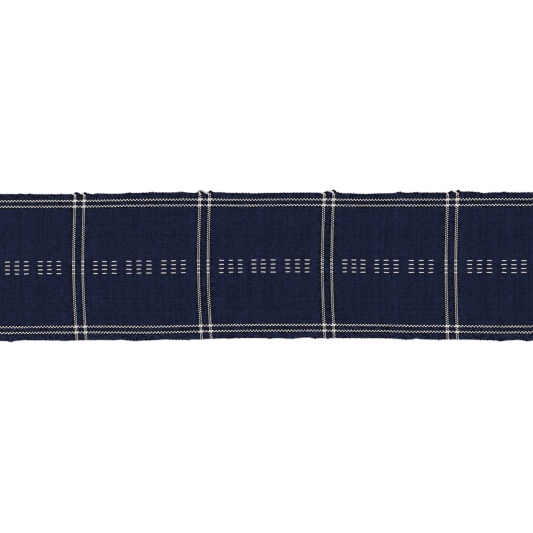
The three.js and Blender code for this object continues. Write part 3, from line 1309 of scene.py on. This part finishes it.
def row_of_stubs(name, outward, seed):
    """A stub on every warp thread along one cut."""
    deselect_all()
    cut = outward * CUT_LENGTH / 2
    bpy.ops.mesh.primitive_cylinder_add(
        vertices=STUB_SIDES,
        radius=STUB_RADIUS * MM,
        depth=STUB_LENGTH * MM,
        location=(cut + outward * (STUB_LENGTH / 2 - STUB_INSIDE) * MM, loom_y(0.5), MIDDLE_HEIGHT * MM),
        rotation=(0, math.pi / 2, 0),
    )
    stubs = bpy.context.object
    stubs.name = name
    bpy.ops.object.transform_apply(location=True, rotation=True, scale=True)
    repeat_along(stubs, (0, END_PITCH, 0), ENDS)
    random_stubs = np.random.default_rng(seed)
    longer = random_stubs.normal(0, STUB_UNEVEN, ENDS)
    aside = random_stubs.normal(0, STUB_UNEVEN / 2, ENDS)
    droop = random_stubs.uniform(0, STUB_UNEVEN, ENDS)

    def change(x, y, z):
        number = np.clip(np.floor(y / END_PITCH + MIDDLE_END), 0, ENDS - 1).astype(int)
        outer = (x - cut) * outward > 0
        slim = np.where(outer, STUB_SLIM, 1)
        axis = loom_y(number + 0.5)
        x = x + np.where(outer, outward * longer[number] * MM, 0)
        y = axis + (y - axis) * slim + np.where(outer, aside[number] * MM, 0)
        z = MIDDLE_HEIGHT * MM + (z - MIDDLE_HEIGHT * MM) * slim - np.where(outer, droop[number] * MM, 0)
        return x, y, z

    edit_points(stubs, change)
    return stubs


stubs = [row_of_stubs("start_stubs", -1, STUB_SEED), row_of_stubs("finish_stubs", 1, STUB_SEED + 1)]
cut_tracks = [-CUT_LENGTH / 2, CUT_LENGTH / 2]
cut_ends = finish_threads("cut_ends", stubs, 1, cut_tracks, STUB_STRAY * MM)

# %% [markdown]
# A finish is maths on numbers that change over the surface. In Python that maths can be written plainly: a
# small class stands for a socket, and adding or multiplying two of them adds the node that does so. A second
# class stands for one material, and its one method adds any other kind of node.

# %% Shader maths
class Value:
    """A number that changes over the surface, for use in sums."""

    def __init__(self, board, socket):
        self.board = board
        self.socket = socket

    def __add__(self, other):
        return self.board.maths("ADD", self, other)

    def __radd__(self, other):
        return self.board.maths("ADD", other, self)

    def __sub__(self, other):
        return self.board.maths("SUBTRACT", self, other)

    def __rsub__(self, other):
        return self.board.maths("SUBTRACT", other, self)

    def __mul__(self, other):
        return self.board.maths("MULTIPLY", self, other)

    def __rmul__(self, other):
        return self.board.maths("MULTIPLY", other, self)

    def __gt__(self, other):
        return self.board.maths("GREATER_THAN", self, other)


class Board:
    """The nodes of one material, on which a finish is laid out."""

    def __init__(self, name):
        self.material = bpy.data.materials.new(name)
        self.material.use_nodes = True
        self.tree = self.material.node_tree
        self.shader = self.tree.nodes["Principled BSDF"]

    def add(self, kind, settings=None, sockets=None):
        """Add a node of any kind. Its settings come first, and then the values or links of its sockets."""
        node = self.tree.nodes.new(kind)
        for name, setting in (settings or {}).items():
            setattr(node, name, setting)
        for name, value in (sockets or {}).items():
            self.feed(node.inputs[name], value)
        return node

    def feed(self, socket, value):
        """Link a socket, or set its value."""
        if isinstance(value, Value):
            value = value.socket
        if isinstance(value, bpy.types.NodeSocket):
            self.tree.links.new(value, socket)
        else:
            socket.default_value = value

    def maths(self, operation, first, second=0.0):
        node = self.add("ShaderNodeMath", {"operation": operation}, {0: first, 1: second})
        return Value(self, node.outputs[0])

    def mix(self, factor, first, second):
        """A colour between two colours. They are sockets 6 and 7 of the node, and the result is output 2."""
        node = self.add("ShaderNodeMix", {"data_type": "RGBA"}, {0: factor, 6: first, 7: second})
        return node.outputs[2]

    def scaled(self, colour, factor):
        """A colour made lighter or darker."""
        node = self.add("ShaderNodeVectorMath", {"operation": "SCALE"}, {0: colour, "Scale": factor})
        return node.outputs[0]

    def loom(self):
        """The pick and the end of each point, as settle kept them."""
        vector = self.add("ShaderNodeAttribute", {"attribute_name": "loom"}).outputs["Vector"]
        parts = self.add("ShaderNodeSeparateXYZ", None, {0: vector})
        return Value(self, parts.outputs[0]), Value(self, parts.outputs[1])

    def random(self, number):
        """A random value from 0 to 1 that is the same for each whole number."""
        node = self.add("ShaderNodeTexWhiteNoise", {"noise_dimensions": "1D"}, {"W": number})
        return Value(self, node.outputs["Value"])

    def noise(self, vector, scale, detail=2.0):
        """Soft noise around 0.5."""
        node = self.add("ShaderNodeTexNoise", None, {"Vector": vector, "Scale": scale, "Detail": detail})
        return Value(self, node.outputs["Fac"])

    def bump(self, height, distance, strength):
        """A normal that is tilted as if the surface stood up by height."""
        sockets = {"Height": height, "Distance": distance, "Strength": strength}
        return self.add("ShaderNodeBump", None, sockets).outputs["Normal"]


# %% [markdown]
# The navy yarn was dyed in the hank, so each thread took the dye a little differently, and the cloth shows
# faint streaks along its picks. The material reads the loom place that settle kept. The sign of one cosine
# product says which thread is on top, and the same product gives each crossing a soft crown in the bump. The
# twist of the yarn shows as fine slanting stripes.

# %% Navy cotton, thread by thread
END_NUMBERS_FROM = 1000
PICK_STRIDE = 317
STREAK_STRETCH = 0.05
STREAK_SCALE = 0.7
PATCH_SCALE = 260.0
TINT_SCALE = 180.0
FIBRE_SCALE = 5000.0
TWIST_PITCH = 0.55

navy = Board("navy_cotton")
pick, end = navy.loom()
place = navy.add("ShaderNodeTexCoord").outputs["Object"]
pick_wave = navy.maths("COSINE", pick * math.pi)
end_wave = navy.maths("COSINE", (end - 0.5) * math.pi)
crossing = pick_wave * end_wave
warp_on_top = crossing > 0
crown = navy.maths("SQRT", navy.maths("ABSOLUTE", crossing))

pick_number = navy.maths("ROUND", pick)
end_number = navy.maths("FLOOR", end)
pick_tone = navy.random(pick_number)
end_tone = navy.random(end_number + END_NUMBERS_FROM)
thread_tone = end_tone * warp_on_top + pick_tone * (1 - warp_on_top)
crossing_tone = navy.random(pick_number * PICK_STRIDE + end_number)
streak_place = navy.add("ShaderNodeCombineXYZ", None, {0: pick, 1: end * STREAK_STRETCH, 2: 0.0})
streak = navy.noise(streak_place.outputs[0], STREAK_SCALE, 1.0)
patch = navy.noise(place, PATCH_SCALE)
tint = navy.noise(place, TINT_SCALE, 1.0)
fibre = navy.noise(place, FIBRE_SCALE, 1.0)

pick_turns = pick * (2 * math.pi * PICK_PITCH / MM / TWIST_PITCH)
end_turns = end * (2 * math.pi * END_PITCH / MM / TWIST_PITCH)
warp_twist = navy.maths("COSINE", end_turns + pick_turns)
weft_twist = navy.maths("COSINE", end_turns - pick_turns)
ply = 0.5 + 0.5 * (warp_twist * warp_on_top + weft_twist * (1 - warp_on_top))
print("the yarn is twisted every", TWIST_PITCH, "mm")

# %% [markdown]
# Beside a white thread the navy ones lie deeper, in its shade, and less evenly. A white line is two threads
# that take turns on top, so it zigzags, and its shade follows the one on top. The borders and the bands are
# each two such lines, so folding the distance to the middle over, with ABSOLUTE, serves both lines at once.

# %% Shade beside the white threads
SHADE_REACH = 1.9
SPECKLE_REACH = 3
BORDER_MIDDLE = 11
BACK_BORDER_MIDDLE = 139
BAND_MIDDLE = 3.5
LINE_FROM_MIDDLE = 3

TAPE_MIDDLE = (BORDER_MIDDLE + BACK_BORDER_MIDDLE) / 2
BORDER_FROM_MIDDLE = (BACK_BORDER_MIDDLE - BORDER_MIDDLE) / 2
HALF_ROUND = REPEAT_PICKS / 2 - LINE_FROM_MIDDLE

off_middle = navy.maths("ABSOLUTE", end - 0.5 * pick_wave - TAPE_MIDDLE)
off_border = navy.maths("ABSOLUTE", off_middle - BORDER_FROM_MIDDLE)
off_line = navy.maths("ABSOLUTE", off_border - LINE_FROM_MIDDLE)
round_repeat = navy.maths("FLOORED_MODULO", pick - 0.5 * end_wave + HALF_ROUND - BAND_MIDDLE, REPEAT_PICKS)
off_band = navy.maths("ABSOLUTE", round_repeat - HALF_ROUND)
off_stripe = navy.maths("ABSOLUTE", off_band - LINE_FROM_MIDDLE)
in_shade = navy.maths("LESS_THAN", navy.maths("MINIMUM", off_line, off_stripe), SHADE_REACH)
near_border = off_middle > BORDER_FROM_MIDDLE - LINE_FROM_MIDDLE - SPECKLE_REACH
near_band = navy.maths("LESS_THAN", off_band, LINE_FROM_MIDDLE + SPECKLE_REACH)
near_white = navy.maths("MAXIMUM", near_border, near_band)
print("the shade reaches", SHADE_REACH, "threads to each side of a white line")

# %% Finish of the navy cotton
NAVY_GREENER = (0.0057, 0.0127, 0.0350, 1)
NAVY_REDDER = (0.0094, 0.0106, 0.0395, 1)
THREAD_SPREAD = 0.6
CROSSING_SPREAD = 0.7
STREAK_SPREAD = 0.65
PATCH_SPREAD = 0.45
TINT_SPREAD = 1.25
SPECKLE_BY_WHITE = 1.3
SHADE_BY_WHITE = 0.5
GAP_SHADE = 0.45
TWIST_SHADE = 0.12
PLY_RELIEF = 0.3
FIBRE_RELIEF = 0.3
NAVY_RELIEF = 0.15 * MM
NAVY_BUMP = 0.8
NAVY_ROUGHNESS_SPREAD = 0.06
COTTON_ROUGHNESS = 0.92
COTTON_SPECULAR = 0.12

tone = 1 + THREAD_SPREAD * (thread_tone - 0.5) + CROSSING_SPREAD * (crossing_tone - 0.5)
tone = tone + STREAK_SPREAD * (streak - 0.5) + PATCH_SPREAD * (patch - 0.5)
tone = navy.maths("MAXIMUM", tone + SPECKLE_BY_WHITE * near_white * (crossing_tone - 0.5), 0)
# Painted shade: the colour is darker in the gaps between the crowns of the crossings, along the twist
# stripes, and beside the white threads.
shaded = tone * (1 - GAP_SHADE + GAP_SHADE * crown) * (1 - TWIST_SHADE + 2 * TWIST_SHADE * ply)
shaded = shaded * (1 - SHADE_BY_WHITE * in_shade)
dyed = navy.mix(0.5 + TINT_SPREAD * (tint - 0.5), NAVY_GREENER, NAVY_REDDER)
relief = crown + PLY_RELIEF * ply + FIBRE_RELIEF * fibre
navy.feed(navy.shader.inputs["Base Color"], navy.scaled(dyed, shaded))
navy.feed(navy.shader.inputs["Normal"], navy.bump(relief, NAVY_RELIEF, NAVY_BUMP))
navy.feed(navy.shader.inputs["Roughness"], COTTON_ROUGHNESS - NAVY_ROUGHNESS_SPREAD * fibre)
navy.shader.inputs["Specular IOR Level"].default_value = COTTON_SPECULAR
print("navy cotton has", len(navy.tree.nodes), "nodes")

# %% [markdown]
# The white yarn is undyed cotton of two plies. Plies twisted together show as slanting grooves, so stripes at
# an angle to the thread make the bump. The same stripes are painted into the colour a little darker, which is
# painted shade of the grooves, and a soft noise darkens the yarn unevenly as wear. The yarn of the weft is a
# little greyer than the yarn of the warp.

# %% Ivory yarn
IVORY = (0.82, 0.79, 0.745, 1)
# Each second colour is the darker yarn: painted shade along the ply stripes and wear from a noise both mix
# towards it.
IVORY_SHADE_AND_WEAR = (0.69, 0.65, 0.60, 1)
WEFT_IVORY = (0.68, 0.66, 0.625, 1)
WEFT_IVORY_SHADE_AND_WEAR = (0.57, 0.54, 0.50, 1)
PAINTED_GROOVE_SHADE = 0.35
WEAR_SHARE = 0.6
WEAR_SCALE = 160.0
IVORY_FIBRE_SCALE = 6000.0
IVORY_RELIEF = 0.06 * MM
IVORY_BUMP = 0.6
IVORY_ROUGHNESS_SPREAD = 0.1


def ivory_material(name, along_x, light, shade):
    """Ivory yarn whose twist runs along the loom, or across it."""
    ivory = Board(name)
    pick, end = ivory.loom()
    place = ivory.add("ShaderNodeTexCoord").outputs["Object"]
    pick_mm = pick * (PICK_PITCH / MM)
    end_mm = end * (END_PITCH / MM)
    along, aside = (pick_mm, end_mm) if along_x else (end_mm, pick_mm)
    ply = ivory.maths("COSINE", (along + aside) * (2 * math.pi / TWIST_PITCH)) * 0.5 + 0.5
    fibre = ivory.noise(place, IVORY_FIBRE_SCALE, 1.0)
    wear = ivory.noise(place, WEAR_SCALE)
    # Painted shade along the ply stripes, and wear from a noise, mix the yarn towards its darker colour.
    colour = ivory.mix(PAINTED_GROOVE_SHADE * ply + WEAR_SHARE * wear, light, shade)
    relief = ply + FIBRE_RELIEF * fibre
    ivory.feed(ivory.shader.inputs["Base Color"], colour)
    ivory.feed(ivory.shader.inputs["Normal"], ivory.bump(relief, IVORY_RELIEF, IVORY_BUMP))
    ivory.feed(ivory.shader.inputs["Roughness"], COTTON_ROUGHNESS - IVORY_ROUGHNESS_SPREAD * fibre)
    ivory.shader.inputs["Specular IOR Level"].default_value = COTTON_SPECULAR
    return ivory.material


ivory_warp = ivory_material("ivory_warp", True, IVORY, IVORY_SHADE_AND_WEAR)
ivory_weft = ivory_material("ivory_weft", False, WEFT_IVORY, WEFT_IVORY_SHADE_AND_WEAR)
print("ivory yarn has", len(ivory_warp.node_tree.nodes), "nodes")

# %% Table top
FLOOR_COLOUR = (0.93, 0.93, 0.925, 1)
FLOOR_ROUGHNESS = 0.9
FLOOR_SPECULAR = 0.1

paint = Board("table_paint")
paint.shader.inputs["Base Color"].default_value = FLOOR_COLOUR
paint.shader.inputs["Roughness"].default_value = FLOOR_ROUGHNESS
paint.shader.inputs["Specular IOR Level"].default_value = FLOOR_SPECULAR
floor.data.materials.append(paint.material)
print("the table is plain and pale")

# %% [markdown]
# Last, each piece gets its finish and is tied to the solid model. All the pieces stand for the one node of
# the model, and they ride on its one body.

# %% Tie the pieces to the model
white_warp_pieces = borders + [floats]
navy_pieces = [ground, turns, cut_ends]
threads = white_warp_pieces + bands + [turns, cut_ends]

for pieces, material, slot in (
    (white_warp_pieces, ivory_warp, "white_yarn"),
    (bands, ivory_weft, "white_yarn"),
    (navy_pieces, navy.material, "cloth"),
):
    for piece in pieces:
        piece.data.materials.clear()
        piece.data.materials.append(material)
        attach(piece, "root")
        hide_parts("tape")

print("the object has", sum(triangles(piece) for piece in threads + [ground]), "triangles")
